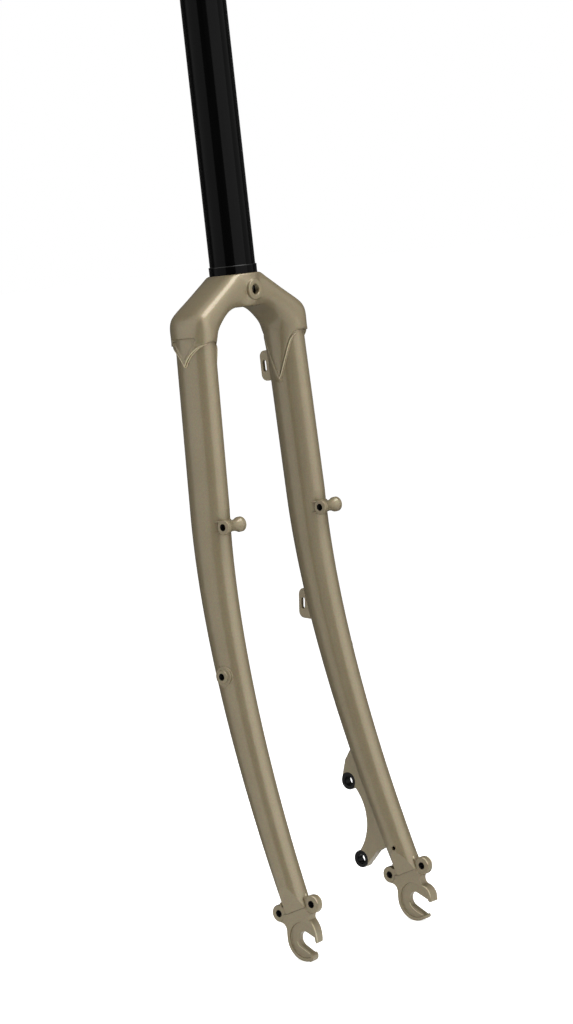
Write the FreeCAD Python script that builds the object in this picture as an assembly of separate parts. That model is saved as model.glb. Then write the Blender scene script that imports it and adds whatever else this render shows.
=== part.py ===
# Bicycle touring fork: steerer, lugged crown, raked blades, dropouts and brazed fittings
# Millimetres. +Z up the steerer axis, -Y forward, +X towards the rider's left.
# The origin lies on the steerer axis at the crown race seat's lower shoulder.
import FreeCAD, Part
import math, os

os.makedirs("parts", exist_ok=True)
V = FreeCAD.Vector

# Steerer
steerer_od = 28.6
steerer_id = 25.4
steerer_top = 300.0
seat_od = 30.0
seat_h = 5.4
steerer_foot = 20.5

# Blades: centreline and oval section
blade_x_top = 41.56
blade_z_ref = -50.0
blade_splay = 0.03573
rake_start = -159.0
rake_amount = 71.75
rake_power = 1.723
blade_top_z = -30.0
blade_depth = 28.0
blade_width = 20.0
taper_start = -142.0
tip_z = -388.6
tip_depth = 17.1
tip_width = 16.8
blade_wall = 1.3
void_end_z = -375.5

# Crown
centre_r = 16.4
seat_gap = 0.3
socket_end = -39.6
lug_wall_out = 1.6
lug_wall_in = 0.95
panel_floor = 1.1
bolt_z = -10.5
bolt_hole_d = 6.2
bolt_ring_od = 12.9
bolt_ring_h = 1.3

# Crown arm, one row a section: top x and z, arch x and z, how far it is wider than half the
# blade, and how square its top and underside are (2 is an oval)
arm_rows = [
    (0.0, 9.2, 0.0, -20.5, 1.2, 3.0, 9.0),
    (15.1, 0.0, 14.3, -21.0, 1.2, 2.9, 5.5),
    (24.0, -5.5, 20.3, -23.6, 1.3, 2.8, 3.8),
    (33.0, -11.0, 24.5, -27.2, 1.5, 2.7, 3.1),
    (41.0, -15.9, 27.2, -30.6, 1.8, 2.8, 2.7),
    (47.3, -20.5, 29.0, -33.4, 2.1, 2.9, 2.4),
    (51.2, -26.2, 29.8, -35.7, 2.3, 2.6, 2.2),
    (52.9, -33.0, 30.1, -37.8, 2.4, 2.1, 2.05),
    (53.5, -39.6, 30.2, -39.6, 2.4, 2.0, 2.0),
]

# Hub axle and dropouts
axle_y = -49.4
axle_z = -406.5
hub_width = 100.0
dropout_t = 6.6
slot_w = 10.0
slot_angle = 28.5
slot_flare = 1.5
dropout_r = 13.5
prong_reach = 14.1
low_reach = 7.1
prong_round = 1.3
waist_r = 4.6
right_prong_short = 3.9
recess_r = 11.3
recess_depth = 1.3
front_eye_r = 5.7
rear_eye_r = 5.4
eye_t = 4.6
front_eye = (-57.5, -384.1)
rear_eye = (-30.0, -391.5)
m5_d = 4.2
tang_w = 10.5
tang_t = 4.0
tang_len = 11.5

# Disc brake tab
tab_hole_gap = 51.0
tab_mid = (-6.55, -356.55)
tab_lean = math.radians(4.1)
tab_boss_r = 5.7
tab_hole_d = 6.2
tab_face_x = 50.0
tab_t = 6.0

# Small fittings
spool_y = -blade_depth / 2 - 3.5
spool_z = -152.0
spool_half = 8.5
spool_r = 4.7
spool_waist_r = 3.4
rider_z = -243.7
rider_od = 8.4
rider_base_od = 12.0
rider_out = 1.8
vent_d = 2.7
vent_at = (44.6, -41.4, -372.2)
guide_len = 19.4
guide_t = 2.4
guide_slot_w = 2.8
guide_high_z = -60.2
guide_low_z = -214.2
guide_in = 4.5
guide_out = 6.4


def ring(r, p, axis, h):
    return Part.makeCylinder(r, h, p, axis)


def centre_y(z):
    if z >= rake_start:
        return 0.0
    return -rake_amount * ((rake_start - z) / 300.0) ** rake_power


def centre_x(z):
    return blade_x_top + blade_splay * (blade_z_ref - z)


def axis_dir(z):
    d = 0.5
    v = V(centre_x(z - d) - centre_x(z + d), centre_y(z - d) - centre_y(z + d), -2 * d)
    return v.normalize()


def section_size(z):
    t = max(0.0, (taper_start - z) / (taper_start - tip_z))
    return (blade_depth + (tip_depth - blade_depth) * t, blade_width + (tip_width - blade_width) * t)


def oval(side, z, inset):
    # Oval square to the centreline, its long axis lying fore and aft
    depth, width = section_size(z)
    t = axis_dir(z)
    ex = V(1, 0, 0)
    ex = (ex - t * ex.dot(t)).normalize()
    ey = t.cross(ex).normalize()
    c = V(centre_x(z), centre_y(z), z)
    if side < 0:
        c, ex, ey = V(-c.x, c.y, c.z), V(-ex.x, ex.y, ex.z), V(-ey.x, ey.y, ey.z)
    a, b = depth / 2.0 - inset, width / 2.0 - inset
    n = ey.cross(ex)
    m = FreeCAD.Matrix(ey.x, ex.x, n.x, c.x, ey.y, ex.y, n.y, c.y, ey.z, ex.z, n.z, c.z, 0, 0, 0, 1)
    e = Part.Ellipse(V(0, 0, 0), a, b).toShape()
    return Part.Wire([e.transformed(m, copy=True)])


def blade_loft(side, z_from, z_to, inset, ruled):
    # Straight upper part, then the tapered and raked part through evenly spaced ovals
    upper = Part.makeLoft([oval(side, z_from, inset), oval(side, taper_start, inset)], True, True)
    steps = 8
    stops = [taper_start + (z_to - taper_start) * i / steps for i in range(steps + 1)]
    lower = Part.makeLoft([oval(side, z, inset) for z in stops], True, ruled)
    return upper.fuse(lower)


def mirror_x(shape):
    return shape.mirror(V(0, 0, 0), V(1, 0, 0))


def prism_yz(points, x0, x1):
    # Straight-sided outline in the YZ plane, carried from x0 to x1
    w = Part.makePolygon([V(x0, y, z) for y, z in points + points[:1]])
    return Part.Face(w).extrude(V(x1 - x0, 0, 0))


def curve_prism_yz(points, x0, x1):
    # Pointed tongue outline: a smooth edge through the points and its mirror, closed at the top
    left = [V(x0, -y, z) for y, z in points]
    right = [V(x0, y, z) for y, z in reversed(points)]
    c1 = Part.BSplineCurve()
    c1.interpolate(left)
    c2 = Part.BSplineCurve()
    c2.interpolate(right)
    top = Part.makePolygon([right[-1], right[-1] + V(0, 0, 4), left[0] + V(0, 0, 4), left[0]])
    return Part.Face(Part.Wire([c1.toShape(), c2.toShape()] + top.Edges)).extrude(V(x1 - x0, 0, 0))


def oval_column(z_from, z_to, grow):
    # Socket column round the straight upper part of the left blade
    return Part.makeLoft([oval(1, z_from, -grow), oval(1, z_to, -grow)], True, True)


# Steerer tube with its race seat, drilled across for the brake bolt
steerer = ring(steerer_od / 2, V(0, 0, -steerer_foot), V(0, 0, 1), steerer_top + steerer_foot)
steerer = steerer.makeChamfer(0.6, [e for e in steerer.Edges if abs(e.BoundBox.ZMin - steerer_top) < 1e-3])
seat = ring(seat_od / 2, V(0, 0, 0), V(0, 0, 1), seat_h)
seat = seat.makeChamfer(0.4, [e for e in seat.Edges if e.BoundBox.ZMin > seat_h - 1e-3])
steerer = steerer.fuse(seat)
steerer_hole = ring(steerer_id / 2, V(0, 0, -steerer_foot - 1), V(0, 0, 1), steerer_top + steerer_foot + 2)
steerer = steerer.cut(steerer_hole)
bolt_bore = ring(bolt_hole_d / 2, V(0, -40, bolt_z), V(0, 1, 0), 80)
steerer = steerer.cut(bolt_bore).removeSplitter()

# Left blade outside, with the two slanting flats that close its foot on the dropout
mid_x = hub_width / 2 + dropout_t / 2
blade_solid = blade_loft(1, blade_top_z, tip_z, 0.0, False)
tip_c = V(mid_x, centre_y(tip_z), tip_z)
tip_t = axis_dir(tip_z)
flat_len = 17.0
flat_half = dropout_t / 2 + 0.1


def foot_flat(sign):
    lean = math.atan((tip_width / 2 + 0.6 - flat_half) / flat_len)
    n = V(sign, 0, 0)
    up = tip_t * -1
    p0 = tip_c + n * flat_half - up * 4 - n * (4 * math.tan(lean))
    p1 = p0 + up * 60 + n * (60 * math.tan(lean))
    side = up.cross(n).normalize() * 30
    w = Part.makePolygon([p0, p1, p1 + n * 60, p0 + n * 60, p0])
    f = Part.Face(w)
    f.translate(side * -1)
    return f.extrude(side * 2)


for s in (1, -1):
    blade_solid = blade_solid.cut(foot_flat(s))
blade_void = blade_loft(1, blade_top_z + 1, void_end_z, blade_wall, True)
blade = blade_solid.cut(blade_void)

# Left dropout, in the YZ plane round the hub axle
mouth = V(0, -math.cos(math.radians(slot_angle)), -math.sin(math.radians(slot_angle)))
across = V(0, mouth.z, -mouth.y)
axle = V(hub_width / 2, axle_y, axle_z)


def at(u, v):
    # u along the slot towards its mouth, v across it towards the blade
    p = axle + mouth * u + across * v
    return (p.y, p.z)


tip_side = tip_t.cross(V(1, 0, 0)).normalize()
if tip_side.y > 0:
    tip_side = tip_side * -1
joint_f = tip_c + tip_side * 7.6
joint_r = tip_c - tip_side * 7.9
plate_x0, plate_x1 = hub_width / 2, hub_width / 2 + dropout_t
eye_x = mid_x - eye_t / 2


def line_yz(a, b):
    return Part.makeLine(V(plate_x0, *a), V(plate_x0, *b))


def arc_yz(a, b, c):
    return Part.Arc(V(plate_x0, *a), V(plate_x0, *b), V(plate_x0, *c)).toShape()


def plate_with_eyes(short, low_round):
    # short: how much less far forward the two prongs reach; low_round: the lower tip's corners
    front_y, low_y = axle_y - prong_reach + short, axle_y - low_reach + short * 0.75
    slope = math.tan(math.radians(slot_angle))
    slot_in = (low_y, axle_z + (low_y - axle_y) * slope)
    slot_out = (front_y, axle_z + (front_y - axle_y) * slope)
    low_z = axle_z - math.sqrt(dropout_r ** 2 - (low_y - axle_y) ** 2)
    diag = dropout_r * math.sqrt(0.5)
    hook_back = (axle_y + dropout_r, axle_z)
    hook_foot = (axle_y, axle_z - dropout_r)
    half_low = math.atan2(axle_z - low_z, axle_y - low_y) / 2 + math.pi / 4
    low_mid = (axle_y - dropout_r * math.cos(half_low), axle_z - dropout_r * math.sin(half_low))
    under_rear = (rear_eye[0] - 1.6, rear_eye[1] - rear_eye_r + 0.2)
    rear_waist = (axle_y + dropout_r - 0.2, under_rear[1] - waist_r)
    rear_turn = (under_rear[0] - waist_r * 0.70, under_rear[1] - waist_r * 0.29)
    under_front = (front_eye[0] + 0.5, front_eye[1] - front_eye_r + 0.2)
    front_turn = (front_eye[0] + 2.0, under_front[1] - 3.3)
    front_waist = (front_eye[0] + 0.3, under_front[1] - 6.7)
    brow = (front_y + 1.0, front_waist[1] - 4.0)
    nose = (front_y, front_waist[1] - 8.2 + short * 0.4)
    edges = [line_yz((joint_r.y, joint_r.z), (rear_eye[0] - 4.2, rear_eye[1])),
             line_yz((rear_eye[0] - 4.2, rear_eye[1]), under_rear),
             arc_yz(under_rear, rear_turn, rear_waist),
             line_yz(rear_waist, hook_back),
             arc_yz(hook_back, (axle_y + diag, axle_z - diag), hook_foot),
             arc_yz(hook_foot, low_mid, (low_y, low_z)),
             line_yz((low_y, low_z), slot_in),
             line_yz(slot_in, slot_out),
             line_yz(slot_out, nose),
             arc_yz(nose, brow, front_waist),
             arc_yz(front_waist, front_turn, under_front),
             line_yz(under_front, (front_eye[0] + 4.2, front_eye[1])),
             line_yz((front_eye[0] + 4.2, front_eye[1]), (joint_f.y, joint_f.z)),
             line_yz((joint_f.y, joint_f.z), (joint_r.y, joint_r.z))]
    plate = Part.Face(Part.Wire(edges)).extrude(V(dropout_t, 0, 0))
    flare = math.tan(math.radians(slot_flare)) * 30
    slot = ring(slot_w / 2, axle, V(1, 0, 0), dropout_t)
    slot = slot.fuse(prism_yz([at(0, slot_w / 2), at(30, slot_w / 2 + flare), at(30, -slot_w / 2 - flare),
                               at(0, -slot_w / 2)], plate_x0, plate_x1))
    plate = plate.cut(slot).removeSplitter()
    thick = [e for e in plate.Edges if e.BoundBox.XLength > dropout_t - 0.01]
    off = [e.CenterOfMass - axle for e in thick]
    low_tip = [e for e, p in zip(thick, off) if p.dot(mouth) > 6.0 and -11.0 < p.dot(across) < 0]
    plate = plate.makeFillet(low_round, low_tip)
    thick = [e for e in plate.Edges if e.BoundBox.XLength > dropout_t - 0.01]
    nose_tip = [e for e in thick if e.CenterOfMass.y < front_y + 0.1 and e.CenterOfMass.z < nose[1] - 0.1]
    plate = plate.makeFillet(prong_round, nose_tip)
    for (y, z), radius in ((front_eye, front_eye_r), (rear_eye, rear_eye_r)):
        eye = ring(radius, V(eye_x, y, z), V(1, 0, 0), eye_t)
        eye = eye.makeChamfer(0.5, eye.Edges[:1] + eye.Edges[2:3])
        ly = centre_y(z + 4.0)
        web = prism_yz([(y, z + 3.6), (ly, z + 5.5), (ly, z - 6.0), (y, z - 3.6)],
                       eye_x + 0.1, eye_x + eye_t - 0.1)
        plate = plate.fuse(eye).fuse(web)
        plate = plate.cut(ring(radius - 0.5, V(plate_x0 - 1, y, z), V(1, 0, 0), eye_x - plate_x0 + 1))
        plate = plate.cut(ring(radius - 0.5, V(eye_x + eye_t, y, z), V(1, 0, 0), eye_x - plate_x0 + 1))
    for x0, x1 in ((plate_x0 - 1, plate_x0 + recess_depth), (plate_x1 - recess_depth, plate_x1 + 1)):
        plate = plate.cut(ring(recess_r, V(x0, axle_y, axle_z), V(1, 0, 0), x1 - x0))
    for y, z in (front_eye, rear_eye):
        plate = plate.cut(ring(m5_d / 2, V(mid_x - 5, y, z), V(1, 0, 0), 10))
        for s in (1, -1):
            cone = Part.makeCone(m5_d / 2 + 0.35, m5_d / 2, 0.35, V(mid_x + s * eye_t / 2, y, z), V(-s, 0, 0))
            plate = plate.cut(cone)
    return plate


tang_c = tip_c - tip_t * (tang_len / 2 - 1.0)
tang = Part.makeBox(tang_t, tang_w, tang_len + 2.0)
tang.translate(V(-tang_t / 2, -tang_w / 2, -tang_len / 2 - 1.0))
tang.rotate(V(0, 0, 0), V(1, 0, 0), math.degrees(math.atan2(tip_t.y, -tip_t.z)) * -1)
tang.translate(tang_c)
dropout_left = plate_with_eyes(0.0, 0.5).cut(blade_solid).fuse(tang).removeSplitter()
dropout_right = plate_with_eyes(right_prong_short, prong_round).cut(blade_solid).fuse(tang).removeSplitter()
dropout_right = mirror_x(dropout_right)
blade = blade.cut(tang)

# Fittings on the blade: hourglass boss, low-rider boss, vent hole, all on the left blade first
spool_x = centre_x(spool_z)
prof = [V(0, 0, -spool_half), V(spool_r - 0.45, 0, -spool_half), V(spool_r, 0, -spool_half + 0.45),
        V(spool_r, 0, -5.6)]
waist = Part.Arc(V(spool_r, 0, -5.6), V(spool_waist_r, 0, 0), V(spool_r, 0, 5.6)).toShape()
flip = [V(p.x, 0, -p.z) for p in reversed(prof)]
spool_wire = Part.Wire([*Part.makePolygon(prof).Edges, waist, *Part.makePolygon(flip).Edges,
                        Part.makeLine(flip[-1], prof[0])])
spool = Part.Face(spool_wire).revolve(V(0, 0, 0), V(0, 0, 1), 360)
spool.rotate(V(0, 0, 0), V(0, 1, 0), 90)
spool.translate(V(spool_x, spool_y, spool_z))
spool = spool.cut(ring(m5_d / 2, V(spool_x - 20, spool_y, spool_z), V(1, 0, 0), 40))
spool = spool.cut(blade_solid)

rider_y = centre_y(rider_z)
rider_face = centre_x(rider_z) + section_size(rider_z)[1] / 2 + rider_out
rider_p = V(rider_face, rider_y, rider_z)
rider = ring(rider_od / 2, rider_p, V(-1, 0, 0), 8.0)
rider = rider.makeChamfer(0.4, [e for e in rider.Edges if e.BoundBox.XMin > rider_face - 1e-3])
rider = rider.fuse(ring(rider_base_od / 2, rider_p - V(rider_out - 0.4, 0, 0), V(-1, 0, 0), 2.6))
rider_hole = ring(m5_d / 2, rider_p + V(1, 0, 0), V(-1, 0, 0), 12.0)
rider_rest = rider.cut(blade_solid)
rider_core = ring(rider_od / 2, rider_p - V(1.0, 0, 0), V(-1, 0, 0), 7.0)
rider = rider_rest.fuse(rider_core).cut(rider_hole).removeSplitter()
blade = blade.cut(ring(rider_od / 2, rider_p, V(-1, 0, 0), 8.0))
plain_blade = blade

# Disc brake tab behind the left blade
lean = V(0, math.sin(tab_lean), math.cos(tab_lean))
mid = V(tab_face_x, tab_mid[0], tab_mid[1])
boss_u = mid + lean * (tab_hole_gap / 2)
boss_l = mid - lean * (tab_hole_gap / 2)
tab_line = [(boss_u.y, boss_u.z), (boss_u.y + 4.9, boss_u.z + 2.9), (boss_u.y + 1.0, boss_u.z + 14.0),
            (-11.0, -307.5), (-24.0, -310.0), (-40.0, -371.0), (-29.5, -373.4), (-21.5, -377.0),
            (boss_l.y - 3.4, boss_l.z - 4.6), (boss_l.y, boss_l.z)]
web = prism_yz(tab_line, tab_face_x, tab_face_x + tab_t)
bay = [V(tab_face_x, boss_u.y - 4.6, boss_u.z - 3.6), V(tab_face_x, -16.6, -355.0),
       V(tab_face_x, boss_l.y + 0.2, boss_l.z + 5.7)]
bay_arc = Part.Arc(*bay).toShape()
bay_out = Part.makePolygon([bay[2], boss_l, V(tab_face_x, 12, boss_l.z), V(tab_face_x, 12, boss_u.z),
                            boss_u, bay[0]])
bay_cut = Part.Face(Part.Wire([bay_arc] + bay_out.Edges)).extrude(V(tab_t, 0, 0))
tab = web.cut(bay_cut)
for p in (boss_u, boss_l):
    tab = tab.fuse(ring(tab_boss_r, p, V(1, 0, 0), tab_t))
tab = tab.cut(blade_solid)
for p in (boss_u, boss_l):
    tab = tab.cut(ring(tab_hole_d / 2, p - V(1, 0, 0), V(1, 0, 0), tab_t + 2))
tab = tab.removeSplitter()


# Hose guides: small slotted plates on the rear inner side of the left blade
def hose_guide(z_mid, x_off):
    x = centre_x(z_mid) - x_off
    d, w = section_size(z_mid)
    surf = centre_y(z_mid) + d / 2 * math.sqrt(1 - (x_off / (w / 2)) ** 2)
    y1 = surf + guide_out
    box = Part.makeBox(guide_t, y1 - surf + 5.0, guide_len,
                       V(x - guide_t / 2, surf - 5.0, z_mid - guide_len / 2))
    box = box.makeFillet(4.2, [e for e in box.Edges if e.BoundBox.XLength > guide_t - 0.01
                               and e.CenterOfMass.y > y1 - 0.1])
    ys = surf + 2.9
    hw = guide_slot_w / 2
    hole = Part.makeBox(guide_t + 2, guide_slot_w, 4.6, V(x - guide_t / 2 - 1, ys - hw, z_mid - 2.3))
    for s in (1, -1):
        hole = hole.fuse(ring(hw, V(x - guide_t / 2 - 1, ys, z_mid + s * 2.3), V(1, 0, 0), guide_t + 2))
    tilt = math.degrees(math.atan2(axis_dir(z_mid).y, -axis_dir(z_mid).z))
    g = box.cut(hole)
    g.rotate(V(x, surf, z_mid), V(1, 0, 0), -tilt if tilt else 0)
    return g.cut(blade_solid).removeSplitter()


guide_upper = hose_guide(guide_high_z, guide_in)
guide_lower = hose_guide(guide_low_z, guide_in)
vent = ring(vent_d / 2, V(vent_at[0] - 6, vent_at[1], vent_at[2]), V(1, 0, 0), 8.0)
blade_left = plain_blade.cut(vent)
blade_right = mirror_x(plain_blade)

# Crown arm: a lofted casting that is a squared bar at the steerer and turns down into an oval socket
crown_unit = (blade_x_top + blade_width / 2) / 51.56


def arm_section(top_x, top_z, arch_x, arch_z, wider, top_n, arch_n):
    mid_c = V((top_x + arch_x) / 2, 0, (top_z + arch_z) / 2) * crown_unit
    reach = V((top_x - arch_x) / 2, 0, (top_z - arch_z) / 2) * crown_unit
    half_w = blade_depth / 2 + wider
    points = []
    for i in range(28):
        c, s = math.cos(math.pi * i / 14), math.sin(math.pi * i / 14)
        n = top_n if s > 0 else arch_n
        k = (abs(c) ** n + abs(s) ** n) ** (-1.0 / n)
        points.append(mid_c + reach * (s * k) + V(0, half_w * c * k, 0))
    curve = Part.BSplineCurve()
    curve.interpolate(points, PeriodicFlag=True)
    return Part.Wire([curve.toShape()])


bend = 5
arm = Part.makeLoft([arm_section(*row) for row in arm_rows[:bend + 1]], True, False)
arm = arm.fuse(Part.makeLoft([arm_section(*row) for row in arm_rows[bend:]], True, False))
below_seat = Part.makeBox(80, 60, 60, V(0, -30, -60 - seat_gap))
body = arm.common(below_seat)

# Lug tongues: thin oval shell below the socket, cut to a short point outside and a long one inside
outer_edge = [(16.4, -39.4), (12.4, -40.0), (9.1, -41.9), (5.3, -45.2), (2.5, -48.6), (0.0, -52.8)]
inner_edge = [(16.4, -39.2), (13.8, -40.5), (10.6, -44.9), (8.5, -50.7),
              (5.3, -59.0), (2.2, -66.4), (0.0, -69.6)]
mid_plane = centre_x(-45.0)
tongue_out = oval_column(-34.0, -76.0, lug_wall_out)
tongue_out = tongue_out.common(curve_prism_yz(outer_edge, mid_plane - 1.0, mid_plane + 30))
tongue_in = oval_column(-34.0, -76.0, lug_wall_in)
tongue_in = tongue_in.common(curve_prism_yz(inner_edge, mid_plane - 30, mid_plane + 1.0))

# Sunk three-cornered panel on the outer face of the socket
panel = prism_yz([(-9.0, -35.4), (9.0, -35.4), (9.6, -37.0), (0.8, -48.2), (-0.8, -48.2), (-9.6, -37.0)],
                 45, 70)
panel = panel.cut(oval_column(-30.0, -60.0, panel_floor))
core = oval_column(blade_top_z, taper_start, 0.0)
half = body.cut(core).multiFuse([tongue_out.cut(core), tongue_in.cut(core)]).cut(panel)

centre = ring(centre_r, V(0, 0, 0), V(0, 0, -1), steerer_foot)
centre = centre.makeChamfer(0.6, centre.Edges[:1] + centre.Edges[2:3])
rings = ring(bolt_ring_od / 2, V(0, -centre_r - bolt_ring_h, bolt_z), V(0, 1, 0), 2 * (centre_r + bolt_ring_h))
rings = rings.makeChamfer(0.5, rings.Edges[:1] + rings.Edges[2:3])
hub = centre.fuse(rings)
for s in (1, -1):
    cone = Part.makeCone(bolt_hole_d / 2 + 0.5, bolt_hole_d / 2, 0.5,
                         V(0, s * (centre_r + bolt_ring_h), bolt_z), V(0, -s, 0))
    hub = hub.cut(cone)
steerer_bore = ring(steerer_od / 2, V(0, 0, -60), V(0, 0, 1), 100)
half = half.cut(steerer_bore).cut(bolt_bore)
crown = hub.cut(steerer_bore).cut(bolt_bore).fuse(half).fuse(mirror_x(half))

parts = {
    "steerer_tube": steerer,
    "crown": crown,
    "blade_right": blade_right,
    "blade_left": blade_left,
    "dropout_right": dropout_right,
    "dropout_left": dropout_left,
    "disc_tab": tab,
    "hose_guide_upper": guide_upper,
    "hose_guide_lower": guide_lower,
    "hourglass_boss_right": mirror_x(spool),
    "hourglass_boss_left": spool,
    "lowrider_boss_right": mirror_x(rider),
    "lowrider_boss_left": rider,
}
for name, shape in parts.items():
    shape = shape.Solids[0] if len(shape.Solids) == 1 else shape
    shape.exportStep("parts/" + name + ".step")
    print(name, shape.isValid(), len(shape.Solids), round(shape.Volume))
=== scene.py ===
import bmesh
import bpy
import math
from mathutils import Matrix, Vector


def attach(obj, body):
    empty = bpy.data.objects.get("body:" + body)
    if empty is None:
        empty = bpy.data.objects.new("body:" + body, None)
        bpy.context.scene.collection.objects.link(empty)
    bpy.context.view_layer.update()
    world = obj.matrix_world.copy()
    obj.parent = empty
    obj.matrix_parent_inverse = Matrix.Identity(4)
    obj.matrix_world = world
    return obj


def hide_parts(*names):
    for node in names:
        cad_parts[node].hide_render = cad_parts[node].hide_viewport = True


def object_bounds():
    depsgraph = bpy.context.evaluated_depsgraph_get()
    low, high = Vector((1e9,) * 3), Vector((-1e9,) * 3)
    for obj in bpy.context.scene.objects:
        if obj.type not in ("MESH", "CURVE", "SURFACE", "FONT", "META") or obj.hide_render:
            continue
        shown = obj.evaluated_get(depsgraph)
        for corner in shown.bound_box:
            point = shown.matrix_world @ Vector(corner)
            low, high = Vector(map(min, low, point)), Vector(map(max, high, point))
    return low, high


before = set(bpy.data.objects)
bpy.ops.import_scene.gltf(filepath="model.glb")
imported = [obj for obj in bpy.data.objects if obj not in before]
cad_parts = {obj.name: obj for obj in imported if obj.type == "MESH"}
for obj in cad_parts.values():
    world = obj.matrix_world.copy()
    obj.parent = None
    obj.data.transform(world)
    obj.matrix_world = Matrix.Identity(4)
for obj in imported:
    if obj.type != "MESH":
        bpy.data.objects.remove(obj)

solids_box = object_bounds()
MM = 0.001
LEGS = ((1, "left"), (-1, "right"))

# Sizes of the fork, all in millimetres: +Z up the steerer, -Y forward, +X towards the rider's left.
# Hole centres beside the wheel as (y, z), and the height of the brake bolt through the crown
FRONT_EYE, REAR_EYE = (-57.5, -384.1), (-30.0, -391.5)
LOW_RIDER, HOURGLASS = (-8.12, -243.7), (-17.5, -152.0)
TAB_HIGH, TAB_LOW = (-4.73, -331.11), (-8.37, -381.99)
CROWN_BOLT_Z = -10.5

# How far the black undercoat reaches round a tapped hole, a brake bolt's face and a brake bolt's hole, where
# the brake tab's two faces lie, and how deep into the tab the bare bolt faces go
TAPPED_R, BOLT_FACE_R, BOLT_HOLE_R = 2.25, 5.75, 3.4
TAB_FACES, BARE_DEPTH = (50.0, 56.0), 0.35

# Steerer: its sawn top, its bore with some room, and the rounded upper edge of the crown race seat
STEERER_TOP, BORE_R = solids_box[1][2] / MM, 13.2
SEAT_TOP, SEAT_R, SEAT_EDGE_R, SEAT_EDGE_IN = 5.4, 15.0, 0.36, 0.28

# Blades, which the braze beads follow: their splay, their forward rake and their taper from oval to round
SPLAY, SPLAY_FROM, BLADE_X = 0.03573, -50.0, 41.56
RAKE_START, RAKE, RAKE_RUN, RAKE_POWER = -159.0, 71.75, 300.0, 1.723
TAPER_START, TIP_Z = -142.0, -388.6
DEPTH, WIDTH, TIP_DEPTH, TIP_WIDTH = 28.0, 20.0, 17.1, 16.8

# Lug: its lower edge from the blade's front to its point, as (forward of the centre, height), its wall on
# each side of a leg, how far round the blade its beads reach, how much the beads and the filing overlap
# beside the inner tongue's point, and over how many rows the filing comes in
LUG_OUTER = [(14.0, -39.5), (12.4, -40.0), (9.1, -41.9), (5.3, -45.2), (2.5, -48.6), (0.0, -52.8)]
LUG_INNER = [(14.0, -40.2), (12.9, -41.4), (10.6, -44.9), (8.5, -50.7), (5.3, -59.0), (2.2, -66.4),
             (0.0, -69.6)]
LUG_WALLS, LUG_END, FILED_OVERLAP, FILED_FADE = (("outer", 1.6), ("inner", 0.95)), 13.2, 1.5, 16
RIM_R, OUTER_FOOT_R, INNER_FOOT_R = 0.4, 0.48, 0.6
RIM_SUNK, RIM_ABOVE, FOOT_PROUD, FOOT_BELOW = 0.22, 0.30, 0.02, 0.25

# Braze: the seam along the brake tab, the ring round a low-rider boss, and the two lines beside an hourglass
# boss, which come closer together at its waist. Rings and lines lie a little below the blade's skin.
BRAZE_SUNK = 0.05
TAB_SEAM_X, TAB_SEAM_TOP, TAB_SEAM_LENGTH, TAB_SEAM_R = 50.4, -311.0, 58.0, 0.75
TAB_SEAM_ASIDE, TAB_SEAM_PROUD = 0.35, 0.1
RIDER_BRAZE, RIDER_BRAZE_R = 6.1, 0.55
SPOOL_BRAZE_HALF, SPOOL_BRAZE_OFF, SPOOL_BRAZE_BEND, SPOOL_BRAZE_R = 7.2, 3.3, 0.6, 0.8

# Lumps of braze where each eye meets the blade's foot, as points on the left leg; the front ones carry a
# painted highlight
EYE_BRAZE_R = 1.15
EYE_BRAZE = (
    ("front", [(54.4, -49.6, -378.3), (54.8, -49.9, -379.5), (54.2, -50.6, -381.3)]),
    ("front_inner", [(52.5, -49.9, -378.4), (52.1, -50.3, -379.6), (52.6, -50.9, -381.4)]),
    ("rear", [(53.9, -31.6, -384.6), (54.4, -32.3, -387.2), (53.6, -33.4, -389.8)]))

# Dropouts: the middle of the plates, and ridges along the prongs, the slots and the front eyes, where the
# paler enamel paints a highlight. The left upper prong's edge is round, about a centre given as (y, z).
PLATE_X = 53.3
RIGHT_PRONG_EDGE = [(-56.5, -57.4, -395.2), (-56.55, -59.0, -398.3), (-56.55, -59.9, -401.4),
                    (-56.55, -60.25, -404.6), (-56.4, -60.1, -407.4)]
RIGHT_SLOT_RIDGE = [(-55.3, -42.7, -408.0), (-55.3, -43.7, -410.2), (-55.3, -46.3, -412.0),
                    (-55.3, -50.4, -414.2), (-55.3, -53.2, -415.9)]
LEFT_SLOT_RIDGE = [(51.3, -44.2, -408.4), (51.3, -45.4, -410.9), (51.3, -47.9, -413.2),
                   (51.3, -51.7, -415.2), (51.3, -55.2, -416.6)]
LEFT_PRONG_X, LEFT_PRONG_CENTRE, LEFT_PRONG_R = 50.1, (-55.39, -404.21), 7.71
LEFT_PRONG_ARC = (102.9, 182.1)
PRONG_RIDGE_R, SLOT_RIDGE_R = 0.36, 0.34
EYE_RIM, EYE_RIM_FACES, EYE_RIM_ARC = 5.35, (("outer", 55.3), ("inner", 51.3)), (6, 81)

# Lips at the ends of the right dropout's prongs, as (y, z) outlines, and how they lie across the plate
LIP_OUT, LIP_IN, LIP_LEAN = -56.65, -50.0, 0.45
UPPER_LIP = [(-56.2, -393.6), (-57.8, -396.0), (-59.1, -398.6), (-59.8, -401.5), (-60.0, -404.5),
             (-59.8, -407.1), (-59.3, -408.0), (-58.7, -408.1), (-58.2, -407.2), (-57.9, -404.8),
             (-57.6, -401.0), (-56.7, -398.0), (-55.2, -395.4)]
LOWER_LIP = [(-53.9, -414.6), (-54.8, -416.0), (-54.9, -417.6), (-54.0, -419.3), (-52.0, -420.2),
             (-51.4, -418.9), (-52.8, -418.0), (-53.3, -416.8), (-52.6, -415.0)]

# M5 threads, and how long they run in an eye, a low-rider boss and an hourglass boss
THREAD_PITCH, THREAD_R, THREAD_DEPTH, THREAD_FLANK, THREAD_STEPS = 0.8, 2.13, 0.5, 0.38, 20
EYE_THREAD, RIDER_THREAD, SPOOL_THREAD, RIDER_THREAD_IN = 4.3, 5.2, 15.6, 1.0

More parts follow.
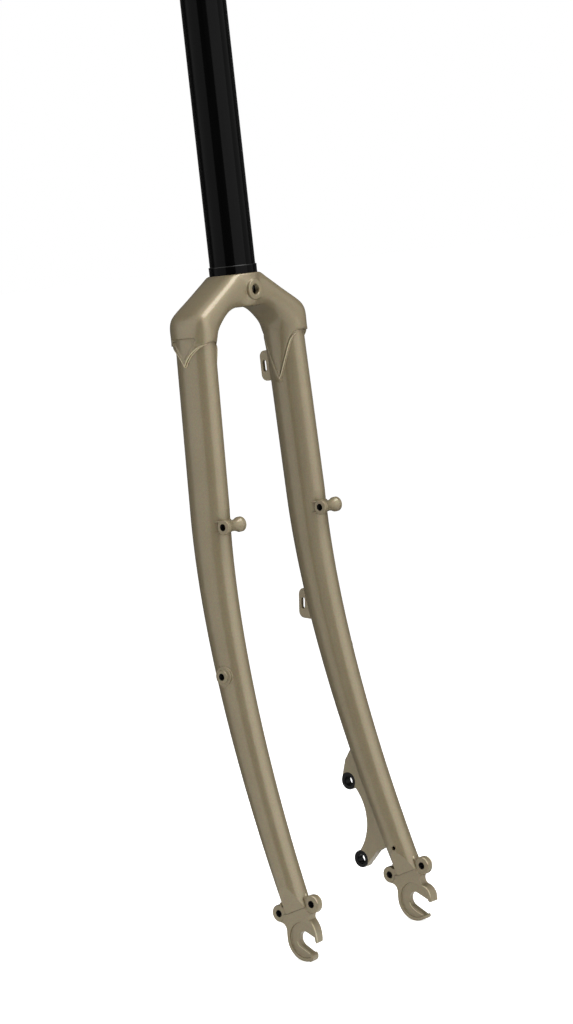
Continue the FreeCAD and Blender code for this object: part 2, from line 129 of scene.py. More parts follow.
# How finely each casting or plate is remade under its paint, and how many rounds its corners are eased
CROWN_VOXEL, CROWN_ROUNDS, CROWN_KEEP, SHOULDER_ROUNDS = 0.36, 2, 0.5, 380
DROPOUT_VOXEL, DROPOUT_ROUNDS = 0.22, 7
SMALL_PARTS = (("disc_tab", 0.32, 5),
               ("hose_guide_upper", 0.22, 4), ("hose_guide_lower", 0.22, 4),
               ("hourglass_boss_right", 0.22, 3), ("hourglass_boss_left", 0.22, 3),
               ("lowrider_boss_right", 0.2, 3), ("lowrider_boss_left", 0.2, 3))

# Paint colours: the sand of the frame, and a paler sand as painted highlight on thin ridges, each drifting
# between two shades
SAND_DARK, SAND = "#82765C", "#8C8066"
HIGHLIGHT_DIM, HIGHLIGHT_BRIGHT = "#B5A98A", "#C2B797"
WHITE = "#FFFFFF"

# Camera, where the photograph was taken from, worked out from the tube edges: degrees, metres and pixels
CAMERA_YAW, CAMERA_PITCH, CAMERA_ROLL = -47.724, 5.069, -6.294
CAMERA_PLACE = Vector((-1.446482, -1.337556, 0.023456))
FOCAL_LENGTH, PHOTO_HEIGHT, SENSOR = 3155.73, 1024, 36.0

# Studio, in metres: the point that the lamps and cloths surround, and half the floor's side
MIDDLE = Vector((0.0, 0.0, -0.15))
FLOOR_REACH = 30.0


def linear(code):
    # sRGB hex, as read off a colour card, to the linear colour that shaders take
    shades = [int(code[i:i + 2], 16) / 255 for i in (1, 3, 5)]
    return [s / 12.92 if s <= 0.04045 else ((s + 0.055) / 1.055) ** 2.4 for s in shades] + [1.0]


def add_node(tree, kind, settings=None, inputs=None):
    # Settings are the node's own switches, inputs are numbers, colours or another node's output
    node = tree.nodes.new(kind)
    for key, value in (settings or {}).items():
        setattr(node, key, value)
    for key, value in (inputs or {}).items():
        if isinstance(value, bpy.types.NodeSocket):
            tree.links.new(value, node.inputs[key])
        else:
            node.inputs[key].default_value = value
    return node


def new_finish(name):
    finish = bpy.data.materials.new(name)
    finish.use_nodes = True
    tree = finish.node_tree
    tree.nodes.clear()
    return finish, tree


def sprayed_base(tree, dark, light):
    # Basecoat: aluminium flake of about 0.05 mm, drawn at 0.45 mm so that it shows, over a slow drift of a
    # few centimetres that the spray gun leaves
    place = add_node(tree, "ShaderNodeTexCoord").outputs["Object"]
    flake = add_node(tree, "ShaderNodeTexVoronoi", {"feature": "F1"},
                     {"Vector": place, "Scale": 1 / (0.45 * MM)})
    cloud = add_node(tree, "ShaderNodeTexNoise", None,
                     {"Vector": place, "Scale": 1 / (25 * MM), "Detail": 3.0, "Roughness": 0.5})
    drift = add_node(tree, "ShaderNodeMix", {"data_type": "RGBA"},
                     {"Factor": cloud.outputs["Fac"], "A": linear(dark), "B": linear(light)})
    base = add_node(tree, "ShaderNodeMix", {"data_type": "RGBA", "blend_type": "OVERLAY"},
                    {"Factor": 0.12, "A": drift.outputs["Result"], "B": flake.outputs["Color"]})
    return place, base.outputs["Result"]


def lacquered(tree, place, colour):
    # Clear lacquer over the flake, with an orange peel of about 3 mm
    peel = add_node(tree, "ShaderNodeTexNoise", None,
                    {"Vector": place, "Scale": 1 / (3.0 * MM), "Detail": 2.0})
    bump = add_node(tree, "ShaderNodeBump", None,
                    {"Strength": 0.05, "Distance": 0.02 * MM, "Height": peel.outputs["Fac"]})
    skin = bump.outputs["Normal"]
    return add_node(tree, "ShaderNodeBsdfPrincipled", None, {
        "Base Color": colour, "Metallic": 0.38, "Roughness": 0.47, "Specular IOR Level": 0.3,
        "Coat Weight": 0.5, "Coat Roughness": 0.11, "Coat IOR": 1.5, "Normal": skin, "Coat Normal": skin})


def near_axis(tree, place, spots, radius):
    # 1 within radius of any of the sideways hole axes given by (y, z), all in millimetres
    flat = add_node(tree, "ShaderNodeVectorMath", {"operation": "MULTIPLY"},
                    {0: place, 1: (0.0, 1.0, 1.0)}).outputs[0]
    inside = None
    for y, z in spots:
        gap = add_node(tree, "ShaderNodeVectorMath", {"operation": "DISTANCE"},
                       {0: flat, 1: (0.0, y * MM, z * MM)})
        near = add_node(tree, "ShaderNodeMath", {"operation": "LESS_THAN"},
                        {0: gap.outputs["Value"], 1: radius * MM})
        inside = near.outputs[0] if inside is None else add_node(
            tree, "ShaderNodeMath", {"operation": "MAXIMUM"}, {0: inside, 1: near.outputs[0]}).outputs[0]
    return inside


def sprayed_enamel(name, dark, light):
    # Two-coat metallic enamel, sprayed: fine aluminium flake in a coloured base under clear lacquer.
    # It gives a soft broad sheen from the flake, with small sharp glints from the lacquer on top.
    finish, tree = new_finish(name)
    place, colour = sprayed_base(tree, dark, light)
    paint = lacquered(tree, place, colour)
    add_node(tree, "ShaderNodeOutputMaterial", None, {"Surface": paint.outputs["BSDF"]})
    return finish


def masked_enamel(name, spots, radius, faces=None):
    # The frame's enamel, masked off where a bolt goes: there the black undercoat shows, glossier and darker
    # than the paint round it. With faces it shows on the outer faces of a plate and through its holes.
    finish, tree = new_finish(name)
    place, colour = sprayed_base(tree, SAND_DARK, SAND)
    paint = lacquered(tree, place, colour)
    bare = add_node(tree, "ShaderNodeBsdfPrincipled", None, {
        "Base Color": linear("#060606"), "Roughness": 0.28, "Specular IOR Level": 0.15})
    mask = near_axis(tree, place, spots, radius)
    if faces is not None:
        side = add_node(tree, "ShaderNodeSeparateXYZ", None, {0: place}).outputs["X"]
        near_face = add_node(tree, "ShaderNodeMath", {"operation": "LESS_THAN"},
                             {0: side, 1: (faces[0] + BARE_DEPTH) * MM})
        far_face = add_node(tree, "ShaderNodeMath", {"operation": "GREATER_THAN"},
                            {0: side, 1: (faces[1] - BARE_DEPTH) * MM})
        face = add_node(tree, "ShaderNodeMath", {"operation": "MAXIMUM"},
                        {0: near_face.outputs[0], 1: far_face.outputs[0]})
        washer = add_node(tree, "ShaderNodeMath", {"operation": "MULTIPLY"}, {0: mask, 1: face.outputs[0]})
        hole = near_axis(tree, place, spots, BOLT_HOLE_R)
        mask = add_node(tree, "ShaderNodeMath", {"operation": "MAXIMUM"},
                        {0: washer.outputs[0], 1: hole}).outputs[0]
    coat = add_node(tree, "ShaderNodeMixShader", None,
                    {0: mask, 1: paint.outputs["BSDF"], 2: bare.outputs["BSDF"]})
    add_node(tree, "ShaderNodeOutputMaterial", None, {"Surface": coat.outputs["Shader"]})
    return finish


def black_undercoat():
    # Primer left bare in a tapped hole: dull black, a little uneven from the tap
    finish, tree = new_finish("black_undercoat")
    place = add_node(tree, "ShaderNodeTexCoord").outputs["Object"]
    rub = add_node(tree, "ShaderNodeTexNoise", None,
                   {"Vector": place, "Scale": 1 / (0.6 * MM), "Detail": 2.0})
    tone = add_node(tree, "ShaderNodeMix", {"data_type": "RGBA"},
                    {"Factor": rub.outputs["Fac"], "A": linear("#040404"), "B": linear("#101010")})
    coat = add_node(tree, "ShaderNodeBsdfPrincipled", None, {
        "Base Color": tone.outputs["Result"], "Roughness": 0.45, "Specular IOR Level": 0.12})
    add_node(tree, "ShaderNodeOutputMaterial", None, {"Surface": coat.outputs["BSDF"]})
    return finish


def black_dip(name, shine):
    # Black electrocoat, dipped and baked: thin, smooth and glossy, with the drawn tube's faint streaks below.
    # The sawn top and the bore are left as bare drawn steel, grey and duller.
    finish, tree = new_finish(name)
    place = add_node(tree, "ShaderNodeTexCoord").outputs["Object"]
    along = add_node(tree, "ShaderNodeMapping", None,
                     {"Vector": place, "Scale": (1 / (2.5 * MM), 1 / (2.5 * MM), 1 / (60 * MM))})
    streak = add_node(tree, "ShaderNodeTexNoise", None,
                      {"Vector": along.outputs["Vector"], "Scale": 1.0, "Detail": 3.0})
    tone = add_node(tree, "ShaderNodeMix", {"data_type": "RGBA"},
                    {"Factor": streak.outputs["Fac"], "A": linear("#040404"), "B": linear("#0A0A0A")})
    skin = add_node(tree, "ShaderNodeBump", None,
                    {"Strength": 0.04, "Distance": 0.02 * MM, "Height": streak.outputs["Fac"]})
    coat = add_node(tree, "ShaderNodeBsdfPrincipled", None, {
        "Base Color": tone.outputs["Result"], "Roughness": 0.12, "Specular IOR Level": shine,
        "Normal": skin.outputs["Normal"]})
    steel = add_node(tree, "ShaderNodeBsdfPrincipled", None, {
        "Base Color": linear("#8E8C88"), "Metallic": 1.0, "Roughness": 0.38,
        "Normal": skin.outputs["Normal"]})
    height = add_node(tree, "ShaderNodeSeparateXYZ", None, {0: place}).outputs["Z"]
    sawn = add_node(tree, "ShaderNodeMath", {"operation": "GREATER_THAN"},
                    {0: height, 1: (STEERER_TOP - 0.1) * MM})
    flat = add_node(tree, "ShaderNodeVectorMath", {"operation": "MULTIPLY"}, {0: place, 1: (1.0, 1.0, 0.0)})
    out = add_node(tree, "ShaderNodeVectorMath", {"operation": "LENGTH"}, {0: flat.outputs[0]})
    bored = add_node(tree, "ShaderNodeMath", {"operation": "LESS_THAN"},
                     {0: out.outputs["Value"], 1: BORE_R * MM})
    bare = add_node(tree, "ShaderNodeMath", {"operation": "MAXIMUM"},
                    {0: sawn.outputs[0], 1: bored.outputs[0]})
    both = add_node(tree, "ShaderNodeMixShader", None,
                    {0: bare.outputs[0], 1: coat.outputs["BSDF"], 2: steel.outputs["BSDF"]})
    add_node(tree, "ShaderNodeOutputMaterial", None, {"Surface": both.outputs["Shader"]})
    return finish


enamel = sprayed_enamel("sand_metallic_enamel", SAND_DARK, SAND)
# Painted highlight: beads and ridges take a paler enamel, which stands in for the glints that light puts on
# them
highlight_paint = sprayed_enamel("sand_metallic_enamel_painted_highlight", HIGHLIGHT_DIM, HIGHLIGHT_BRIGHT)
electrocoat = black_dip("black_electrocoat", 0.055)
# The race seat's edge is rubbed bright where a bearing's race is driven on
rubbed_coat = black_dip("black_electrocoat_rubbed_bright", 0.4)
fittings = masked_enamel("enamel_round_m5_threads", [FRONT_EYE, REAR_EYE, LOW_RIDER, HOURGLASS], TAPPED_R)
bolt_faces = masked_enamel("enamel_round_brake_bolts", [TAB_HIGH, TAB_LOW], BOLT_FACE_R, TAB_FACES)
undercoat = black_undercoat()
for name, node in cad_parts.items():
    node.data.materials.clear()
    if name == "steerer_tube":
        node.data.materials.append(electrocoat)
    elif name == "disc_tab":
        node.data.materials.append(bolt_faces)
    elif "boss" in name or "dropout" in name:
        node.data.materials.append(fittings)
    else:
        node.data.materials.append(enamel)


def placed(name, data):
    # A new object in the scene, for a mesh, a curve, a lamp or the camera
    thing = bpy.data.objects.new(name, data)
    bpy.context.collection.objects.link(thing)
    return thing


def cling(piece, *nodes):
    # What every added piece needs: it is shaded smooth and moves with the fork, and the nodes it stands for
    # are hidden
    for polygon in piece.data.polygons:
        polygon.use_smooth = True
    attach(piece, "root")
    if nodes:
        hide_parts(*nodes)
    return piece


def worked_mesh(thing):
    # The mesh that an object's curve or modifiers make
    bpy.context.view_layer.update()
    seen = thing.evaluated_get(bpy.context.evaluated_depsgraph_get())
    return bpy.data.meshes.new_from_object(seen)


def bake(piece):
    # Works the piece's modifiers into its mesh
    shape = worked_mesh(piece)
    piece.modifiers.clear()
    piece.data = shape


def add_lips(shape, outlines):
    # Raised lips across the prongs' ends, their outer edge a little further forward than their inner one
    solid = bmesh.new()
    solid.from_mesh(shape)
    for outline in outlines:
        outer, inner = [[solid.verts.new(Vector((x, y + lean, z)) * MM) for y, z in outline]
                        for x, lean in ((LIP_OUT, -LIP_LEAN), (LIP_IN, LIP_LEAN))]
        solid.faces.new(outer)
        solid.faces.new(list(reversed(inner)))
        for i in range(len(outer)):
            k = (i + 1) % len(outer)
            solid.faces.new((outer[k], outer[i], inner[i], inner[k]))
    solid.to_mesh(shape)
    solid.free()


def eased(node_name, voxel, rounds, keep=1.0, soft_spots=None, lips=()):
    # A casting or filed plate as it is under paint: the solid's own shape with its sharp corners eased
    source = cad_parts[node_name]
    piece = placed("painted_" + node_name, source.data.copy())
    if lips:
        add_lips(piece.data, lips)
    for polygon in piece.data.polygons:
        polygon.material_index = 0
    even = piece.modifiers.new("even_skin", "REMESH")
    even.mode, even.voxel_size, even.use_smooth_shade = "VOXEL", voxel * MM, True
    bake(piece)
    if soft_spots:
        group = piece.vertex_groups.new(name="soft_spots")
        for vertex in piece.data.vertices:
            group.add([vertex.index], soft_spots(vertex.co / MM), "REPLACE")
        blend = piece.modifiers.new("soft_shoulders", "SMOOTH")
        blend.factor, blend.iterations, blend.vertex_group = 0.5, SHOULDER_ROUNDS, "soft_spots"
    soft = piece.modifiers.new("soft_corners", "SMOOTH")
    soft.factor, soft.iterations = 0.5, rounds
    if keep < 1.0:
        fewer = piece.modifiers.new("fewer_faces", "DECIMATE")
        fewer.ratio = keep
    bake(piece)
    if not piece.data.materials:
        piece.data.materials.append(source.data.materials[0])
    cling(piece, node_name)


def ramp(value, low, high):
    # 0 up to low, 1 from high on, straight between them; low may be the larger
    return min(1.0, max(0.0, (value - low) / (high - low)))


def crown_shoulder(p):
    # Where the casting is ground smooth: its arms and hub, but not the seat, bolt rings or socket ends
    clear_of_sockets = ramp(abs(p.x), 47.0, 40.0)
    below_seat = ramp(p.z, -1.2, -3.5)
    clear_of_rings = ramp(math.hypot(p.x, p.z - CROWN_BOLT_Z), 6.6, 9.0)
    clear_of_steerer = ramp(math.hypot(p.x, p.y), 14.6, 15.4)
    return clear_of_sockets * below_seat * clear_of_rings * clear_of_steerer


eased("crown", CROWN_VOXEL, CROWN_ROUNDS, CROWN_KEEP, crown_shoulder)
eased("dropout_right", DROPOUT_VOXEL, DROPOUT_ROUNDS, lips=(UPPER_LIP, LOWER_LIP))
eased("dropout_left", DROPOUT_VOXEL, DROPOUT_ROUNDS)
for node_name, voxel, rounds in SMALL_PARTS:
    eased(node_name, voxel, rounds)


def blade_at(z):
    # Centre x and y, and half the depth and width, of the left blade at a height
    share = max(0.0, (TAPER_START - z) / (TAPER_START - TIP_Z))
    y = 0.0 if z > RAKE_START else -RAKE * ((RAKE_START - z) / RAKE_RUN) ** RAKE_POWER
    half_depth = (DEPTH + (TIP_DEPTH - DEPTH) * share) / 2
    half_width = (WIDTH + (TIP_WIDTH - WIDTH) * share) / 2
    return BLADE_X + SPLAY * (SPLAY_FROM - z), y, half_depth, half_width


def on_blade(leg, side, turn, z):
    # A place on a blade's skin and the way out of it: turn is 0 at that side, positive to the rear
    x, y, half_depth, half_width = blade_at(z)
    place = Vector((leg * x + side * half_width * math.cos(turn), y + half_depth * math.sin(turn), z))
    out = Vector((side * math.cos(turn) / half_width, math.sin(turn) / half_depth, 0)).normalized()
    return place, out


def bead(name, path, radius, finish=None, closed=False):
    # A bead of braze or a rolled edge: a thin round rod along a path. An open one is drawn thinner, down to
    # end_size of its radius, over the sixth of its length next to each end.
    end_size = 0.3
    last = len(path) - 1
    line = bpy.data.curves.new(name, "CURVE")
    line.dimensions, line.bevel_depth, line.bevel_resolution, line.use_fill_caps = "3D", radius * MM, 3, True
    run = line.splines.new("POLY")
    run.points.add(last)
    for i, (point, place) in enumerate(zip(run.points, path)):
        point.co = (*(Vector(place) * MM), 1.0)
        if not closed:
            point.radius = end_size + (1.0 - end_size) * min(1.0, 6.0 * min(i, last - i) / last)
    run.use_cyclic_u = closed
    rod = placed(name + "_line", line)
    shape = worked_mesh(rod)
    bpy.data.objects.remove(rod)
    shape.materials.clear()
    shape.materials.append(finish or enamel)
    return cling(placed(name, shape))


def through(points, steps):
    # A smooth line through a few points
    line = []
    for i in range(len(points) - 1):
        a, b, c, d = (Vector(points[min(max(k, 0), len(points) - 1)]) for k in range(i - 1, i + 3))
        for k in range(steps):
            t = k / steps
            line.append(((b * 2) + (c - a) * t + (a * 2 - b * 5 + c * 4 - d) * t ** 2
                         + (b * 3 - a - c * 3 + d) * t ** 3) / 2)
    return line + [Vector(points[-1])]


def arc(centre, radius, start, end, steps):
    # Places on a flat arc round a centre, from start to end in degrees
    turns = [math.radians(start + (end - start) * k / steps) for k in range(steps + 1)]
    return [(centre[0] + radius * math.cos(a), centre[1] + radius * math.sin(a)) for a in turns]


def whole_ring(centre, radius, count):
    # Places all the way round a centre
    return arc(centre, radius, 0, 360 - 360 / count, count - 1)


def either_side(rows, i):
    # The rows before and after one, or the row itself at an end
    return rows[max(i - 1, 0)], rows[min(i + 1, len(rows) - 1)]


def lug_edge(leg, side, half_edge):
    # A lug's lower edge, front to back: places on the blade, the way out of it, and how far back they lie
    half = through([(y, z, 0) for y, z in half_edge], 9)
    rows = []
    for y, z in [(-p.x, p.y) for p in half] + [(p.x, p.y) for p in reversed(half[:-1])]:
        if abs(y) < LUG_END:
            rows.append((*on_blade(leg, side, math.asin(y / (DEPTH / 2)), z), y))
    return rows


def filed_back(leg, label, edge, wall):
    # Behind the inner tongue the lug is filed down to the blade: a long flat fillet in place of a step.
    # Its section goes round by (height above the blade, distance below the tongue's edge).
    section = ((wall - 0.3, -2.6), (wall - 0.01, -1.5), (wall + 0.03, -0.4), (wall * 0.9, 0.8),
               (wall * 0.66, 2.2), (wall * 0.38, 3.8), (wall * 0.14, 5.4), (-0.02, 6.8),
               (-0.25, 7.6), (-0.6, 6.8), (-0.6, -2.2))
    back = [(math.asin(y / (DEPTH / 2)), place.z) for place, out, y in edge if y > -FILED_OVERLAP]
    verts, faces = [], []
    for i, (turn, z) in enumerate(back):
        before, after = either_side(back, i)
        per_turn = math.hypot(DEPTH / 2 * math.cos(turn), WIDTH / 2 * math.sin(turn))
        step = Vector((after[1] - before[1], -(after[0] - before[0]) * per_turn)).normalized()
        fade = min(1.0, (i + 0.5) / FILED_FADE)
        for height, drop in section:
            drop *= fade if drop > 0 else 1.0
            place, out = on_blade(leg, -leg, turn + step.x * drop / per_turn, z + step.y * drop)
            verts.append((place + out * height) * MM)
    n = len(section)
    for i in range(len(back) - 1):
        for k in range(n):
            m = (k + 1) % n
            faces.append((n * i + k, n * i + m, n * i + n + m, n * i + n + k))
    faces += [tuple(range(n)), tuple(reversed(range(n * len(back) - n, n * len(back))))]
    shape = bpy.data.meshes.new("lug_filed_" + label)
    shape.from_pydata(verts, [], faces)
    solid = bmesh.new()
    solid.from_mesh(shape)
    bmesh.ops.recalc_face_normals(solid, faces=solid.faces)
    solid.to_mesh(shape)
    solid.free()
    shape.materials.append(enamel)
    cling(placed("lug_filed_" + label, shape))


def lug_beads(leg, label, side_name, wall):
    # The rolled rim along a lug's edge and the braze at its foot; the inner tongue's back is filed instead
    outside = side_name == "outer"
    edge = lug_edge(leg, leg if outside else -leg, LUG_OUTER if outside else LUG_INNER)
    rim, foot = [], []
    for i, (place, out, y) in enumerate(edge):
        before, after = either_side(edge, i)
        below = (after[0] - before[0]).normalized().cross(out).normalized()
        below = below if below.z < 0 else -below
        if outside or y < FILED_OVERLAP:
            rim.append(place + out * (wall - RIM_SUNK) - below * RIM_ABOVE)
            foot.append(place + out * FOOT_PROUD + below * FOOT_BELOW)
    # The rim and the outer braze take the paler enamel, a painted highlight along the lug's edge
    bead("lug_rim_%s_%s" % (side_name, label), rim, RIM_R, highlight_paint)
    if outside:
        bead("lug_braze_outer_" + label, foot, OUTER_FOOT_R, highlight_paint)
    else:
        bead("lug_braze_inner_" + label, foot, INNER_FOOT_R)
        filed_back(leg, label, edge, wall)


for leg, label in LEGS:
    for side_name, wall in LUG_WALLS:
        lug_beads(leg, label, side_name, wall)


def tab_seam():
    # Braze along the brake tab, where it stands on the back of the left blade
    steps = 32
    seam = []
    for k in range(steps + 1):
        z = TAB_SEAM_TOP - TAB_SEAM_LENGTH * k / steps
        x, y, half_depth, half_width = blade_at(z)
        skin = y + half_depth * math.sqrt(1 - ((TAB_SEAM_X - x) / half_width) ** 2)
        seam.append((TAB_SEAM_X - TAB_SEAM_ASIDE, skin + TAB_SEAM_PROUD, z))
    bead("tab_braze", seam, TAB_SEAM_R)


def rider_ring(leg, label):
    # Braze round a low-rider boss, on the blade's outer side
    x, y, half_depth, half_width = blade_at(LOW_RIDER[1])
    path = []
    for rearward, above in whole_ring((0.0, 0.0), RIDER_BRAZE, 48):
        skin = x + half_width * math.sqrt(1 - (rearward / half_depth) ** 2)
        path.append((leg * (skin - BRAZE_SUNK), LOW_RIDER[0] + rearward, LOW_RIDER[1] + above))
    bead("lowrider_braze_" + label, path, RIDER_BRAZE_R, closed=True)


def spool_lines(leg, label):
    # Braze above and below an hourglass boss, across the front of the blade
    x, y, half_depth, half_width = blade_at(HOURGLASS[1])
    for side, where in ((1, "_over"), (-1, "_under")):
        steps = 16
        line = []
        for k in range(steps + 1):
            off = SPOOL_BRAZE_HALF * (2 * k / steps - 1)
            bend = SPOOL_BRAZE_BEND * math.cos(off / SPOOL_BRAZE_HALF * math.pi / 2)
            skin = y - half_depth * math.sqrt(1 - (off / half_width) ** 2)
            line.append((leg * (x + off), skin - BRAZE_SUNK, HOURGLASS[1] + side * (SPOOL_BRAZE_OFF - bend)))
        bead("hourglass_braze_" + label + where, line, SPOOL_BRAZE_R)


tab_seam()
for leg, label in LEGS:
    rider_ring(leg, label)
    spool_lines(leg, label)
# The front lumps are painted paler: a painted highlight for their glint
for leg, label in LEGS:
    for eye, points in EYE_BRAZE:
        bead("eye_braze_%s_%s" % (eye, label), through([(leg * x, y, z) for x, y, z in points], 8),
             EYE_BRAZE_R, enamel if eye == "rear" else highlight_paint)

# Ridges along the dropouts' prongs and slots, and over the front eyes, with a painted highlight in the paler
# enamel
prong_round = arc(LEFT_PRONG_CENTRE, LEFT_PRONG_R, *LEFT_PRONG_ARC, 5)
left_prong_edge = [(LEFT_PRONG_X, y, z) for y, z in prong_round]
bead("prong_edge_right", through(RIGHT_PRONG_EDGE, 6), RIM_R, highlight_paint)
bead("prong_edge_left", through(left_prong_edge, 6), PRONG_RIDGE_R, highlight_paint)
bead("slot_ridge_right", through(RIGHT_SLOT_RIDGE, 6), SLOT_RIDGE_R, highlight_paint)
bead("slot_ridge_left", through(LEFT_SLOT_RIDGE, 6), SLOT_RIDGE_R, highlight_paint)
for leg, label in LEGS:
    for face, x in EYE_RIM_FACES:
        rim = arc(FRONT_EYE, EYE_RIM, 90 + EYE_RIM_ARC[0], 90 + EYE_RIM_ARC[1], 15)
        bead("eye_rim_%s_%s" % (face, label), [(leg * x, y, z) for y, z in rim], PRONG_RIDGE_R, highlight_paint)


def thread(name, middle_x, hole, length):
    # An M5 thread's helical ridge inside a tapped hole: it runs along x, as far each way from its middle
    turns = length / THREAD_PITCH
    count = int(turns * THREAD_STEPS)
    profile = ((THREAD_R, -THREAD_FLANK), (THREAD_R - THREAD_DEPTH, 0.0), (THREAD_R, THREAD_FLANK))
    verts, faces = [], []
    for i in range(count + 1):
        angle, x = math.tau * turns * i / count, middle_x + length * (i / count - 0.5)
        for r, shift in profile:
            y, z = hole[0] + r * math.cos(angle), hole[1] + r * math.sin(angle)
            verts.append(Vector((x + shift, y, z)) * MM)
        if i:
            for k in (0, 1):
                faces.append((3 * i - 3 + k, 3 * i + k, 3 * i + k + 1, 3 * i - 2 + k))
    shape = bpy.data.meshes.new(name)
    shape.from_pydata(verts, [], faces)
    shape.materials.append(undercoat)
    cling(placed(name, shape))


for leg, label in LEGS:
    thread("thread_front_eye_" + label, leg * PLATE_X, FRONT_EYE, EYE_THREAD)
    thread("thread_rear_eye_" + label, leg * PLATE_X, REAR_EYE, EYE_THREAD)
    x, y, half_depth, half_width = blade_at(LOW_RIDER[1])
    thread("thread_lowrider_" + label, leg * (x + half_width - RIDER_THREAD_IN), LOW_RIDER, RIDER_THREAD)
    x, y, half_depth, half_width = blade_at(HOURGLASS[1])
    thread("thread_hourglass_" + label, leg * x, HOURGLASS, SPOOL_THREAD)

# Rounded upper edge of the crown race seat, where the turned step meets the steerer
seat_round = whole_ring((0.0, 0.0), SEAT_R - SEAT_EDGE_IN, 120)
seat_edge = bead("race_seat_edge", [(x, y, SEAT_TOP - SEAT_EDGE_IN) for x, y in seat_round],
                 SEAT_EDGE_R, rubbed_coat, closed=True)

# Camera
yaw, pitch, roll = (math.radians(angle) for angle in (CAMERA_YAW, CAMERA_PITCH, CAMERA_ROLL))
back = Vector((math.sin(yaw) * math.cos(pitch), -math.cos(yaw) * math.cos(pitch), math.sin(pitch)))
level = Vector((math.cos(yaw), math.sin(yaw), 0.0))
rise = back.cross(level)
right = level * math.cos(roll) + rise * math.sin(roll)
up = rise * math.cos(roll) - level * math.sin(roll)
lens = bpy.data.cameras.new("camera")
lens.sensor_fit, lens.sensor_height, lens.lens = "VERTICAL", SENSOR, FOCAL_LENGTH * SENSOR / PHOTO_HEIGHT
lens.clip_start, lens.clip_end = 0.05, 50.0
camera = placed("camera", lens)
camera.matrix_world = Matrix.Translation(CAMERA_PLACE) @ Matrix((right, up, back)).transposed().to_4x4()
bpy.context.scene.camera = camera


def around(degrees, lift):
    # Direction from the fork, turned to the right of the camera by degrees and raised by lift
    flat = back - Vector((0, 0, back.z))
    level_way = Matrix.Rotation(math.radians(degrees), 3, "Z") @ flat.normalized()
    return level_way + Vector((0, 0, math.tan(math.radians(lift))))


def softbox(name, direction, distance, width, height, power):
    # A square-cornered soft lamp that faces the fork's middle from a direction
    lamp = bpy.data.lights.new(name, "AREA")
    lamp.shape, lamp.size, lamp.size_y, lamp.energy = "RECTANGLE", width, height, power
    holder = placed(name, lamp)
    way = direction.normalized()
    holder.location = MIDDLE + way * distance
    holder.rotation_euler = way.to_track_quat("Z", "Y").to_euler()


def dark_cloth(name, code, span, rings):
    # A photographer's dark cloth round the fork, through rings of (distance out, height): gloss shows it as a
    # soft dark band and no camera sees it
    steps = 24
    points = [MIDDLE + out * around(span[0] + (span[1] - span[0]) * i / steps, 0) + Vector((0, 0, height))
              for out, height in rings for i in range(steps + 1)]
    row = steps + 1
    faces = [(j * row + i, j * row + i + 1, (j + 1) * row + i + 1, (j + 1) * row + i)
             for j in range(len(rings) - 1) for i in range(steps)]
    mesh = bpy.data.meshes.new(name)
    mesh.from_pydata(points, [], faces)
    cloth = placed(name, mesh)
    cloth.visible_camera = cloth.visible_shadow = cloth.visible_diffuse = False
    # Wool felt: matt all over, so that its reflection is an even tone with no sheen of its own
    felt, tree = new_finish(name + "_felt")
    wool = add_node(tree, "ShaderNodeBsdfDiffuse", None, {"Color": linear(code)})
    add_node(tree, "ShaderNodeOutputMaterial", None, {"Surface": wool.outputs["BSDF"]})
    mesh.materials.append(felt)


def dome(radius, low_lift, high_lift):
    # Rings of a dome of that radius between two angles above the middle of the fork
    lifts = [math.radians(low_lift + (high_lift - low_lift) * j / 8) for j in range(9)]
    return [(radius * math.cos(lift), radius * math.sin(lift)) for lift in lifts]


# Lamps by direction, distance, width, height and watts, and cloths by colour, the span of degrees round the
# fork that they cover, and rings. The floor's cloth lies 2 mm above it.
floor_z = solids_box[0][2]
on_floor = floor_z + 2 * MM - MIDDLE.z
softbox("right_softbox", around(43, 12), 1.5, 1.7, 1.6, 10.8)
softbox("left_softbox", around(-70, 18), 1.6, 2.2, 1.6, 5.4)
softbox("top_softbox", right * 0.24 + up * 0.90 + back * 0.27, 1.3, 0.9, 0.7, 13.0)
dark_cloth("black_screen_by_camera", "#060606", (-33, 14), dome(2.6, -4, 40))
dark_cloth("grey_screen_behind", "#8A8A8A", (112, 262), dome(2.8, -8, 70))
dark_cloth("dark_cloth_on_floor_behind", "#707070", (100, 262),
           [(out, on_floor) for out in (0.1, 1.2, 2.7)])


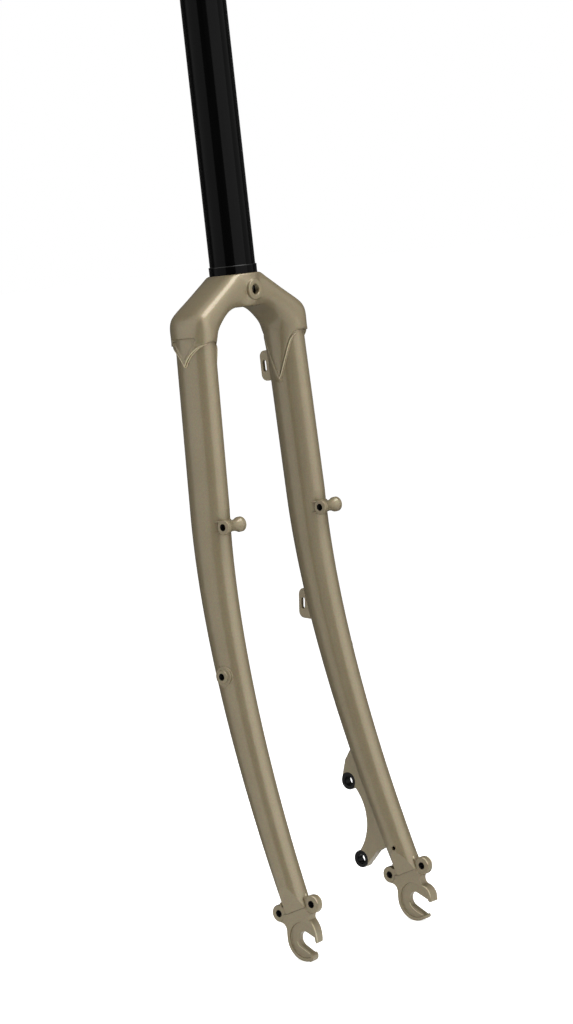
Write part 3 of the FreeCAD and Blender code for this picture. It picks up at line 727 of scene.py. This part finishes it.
def white_room():
    # A strength of 1 to the eye, in reflections and through clear things, dimmer as a source of light
    room = bpy.data.worlds.new("white_room")
    room.use_nodes = True
    tree = room.node_tree
    tree.nodes.clear()
    ray = add_node(tree, "ShaderNodeLightPath")
    seen = add_node(tree, "ShaderNodeMath", {"operation": "MAXIMUM"},
                    {0: ray.outputs["Is Camera Ray"], 1: ray.outputs["Is Glossy Ray"]})
    seen = add_node(tree, "ShaderNodeMath", {"operation": "MAXIMUM"},
                    {0: seen.outputs[0], 1: ray.outputs["Is Transmission Ray"]})
    strength = add_node(tree, "ShaderNodeMix", {"data_type": "FLOAT"},
                        {"Factor": seen.outputs[0], "A": 0.27, "B": 1.0})
    glow = add_node(tree, "ShaderNodeBackground", None,
                    {"Color": linear(WHITE), "Strength": strength.outputs["Result"]})
    add_node(tree, "ShaderNodeOutputWorld", None, {"Surface": glow.outputs["Background"]})
    return room


def pale_paper():
    # Seamless studio paper: matt and nearly white, faintly cloudy from its pulp, with a lift to the eye and
    # in reflections so that it runs into the white room
    paper, tree = new_finish("pale_paper")
    place = add_node(tree, "ShaderNodeTexCoord").outputs["Object"]
    pulp = add_node(tree, "ShaderNodeTexNoise", None, {"Vector": place, "Scale": 1 / (40 * MM)})
    shade = add_node(tree, "ShaderNodeMix", {"data_type": "RGBA"},
                     {"Factor": pulp.outputs["Fac"], "A": linear("#EFEFEC"), "B": linear("#F4F4F2")})
    matt = add_node(tree, "ShaderNodeBsdfDiffuse", None, {"Color": shade.outputs["Result"]})
    ray = add_node(tree, "ShaderNodeLightPath")
    in_gloss = add_node(tree, "ShaderNodeMath", {"operation": "MULTIPLY"},
                        {0: ray.outputs["Is Glossy Ray"], 1: 0.45})
    to_eye = add_node(tree, "ShaderNodeMath", {"operation": "MULTIPLY"},
                      {0: ray.outputs["Is Camera Ray"], 1: 0.8})
    seen = add_node(tree, "ShaderNodeMath", {"operation": "MAXIMUM"},
                    {0: in_gloss.outputs[0], 1: to_eye.outputs[0]})
    lift = add_node(tree, "ShaderNodeEmission", None, {"Color": linear(WHITE), "Strength": seen.outputs[0]})
    both = add_node(tree, "ShaderNodeAddShader", None,
                    {0: matt.outputs["BSDF"], 1: lift.outputs["Emission"]})
    add_node(tree, "ShaderNodeOutputMaterial", None, {"Surface": both.outputs["Shader"]})
    return paper


bpy.context.scene.world = white_room()

# Pale floor under the dropouts
floor_mesh = bpy.data.meshes.new("floor")
corners = ((-1, -1), (1, -1), (1, 1), (-1, 1))
floor_mesh.from_pydata([(x * FLOOR_REACH, y * FLOOR_REACH, floor_z) for x, y in corners], [], [(0, 1, 2, 3)])
floor_mesh.materials.append(pale_paper())
placed("floor", floor_mesh)

bpy.context.scene.view_settings.view_transform = "Standard"
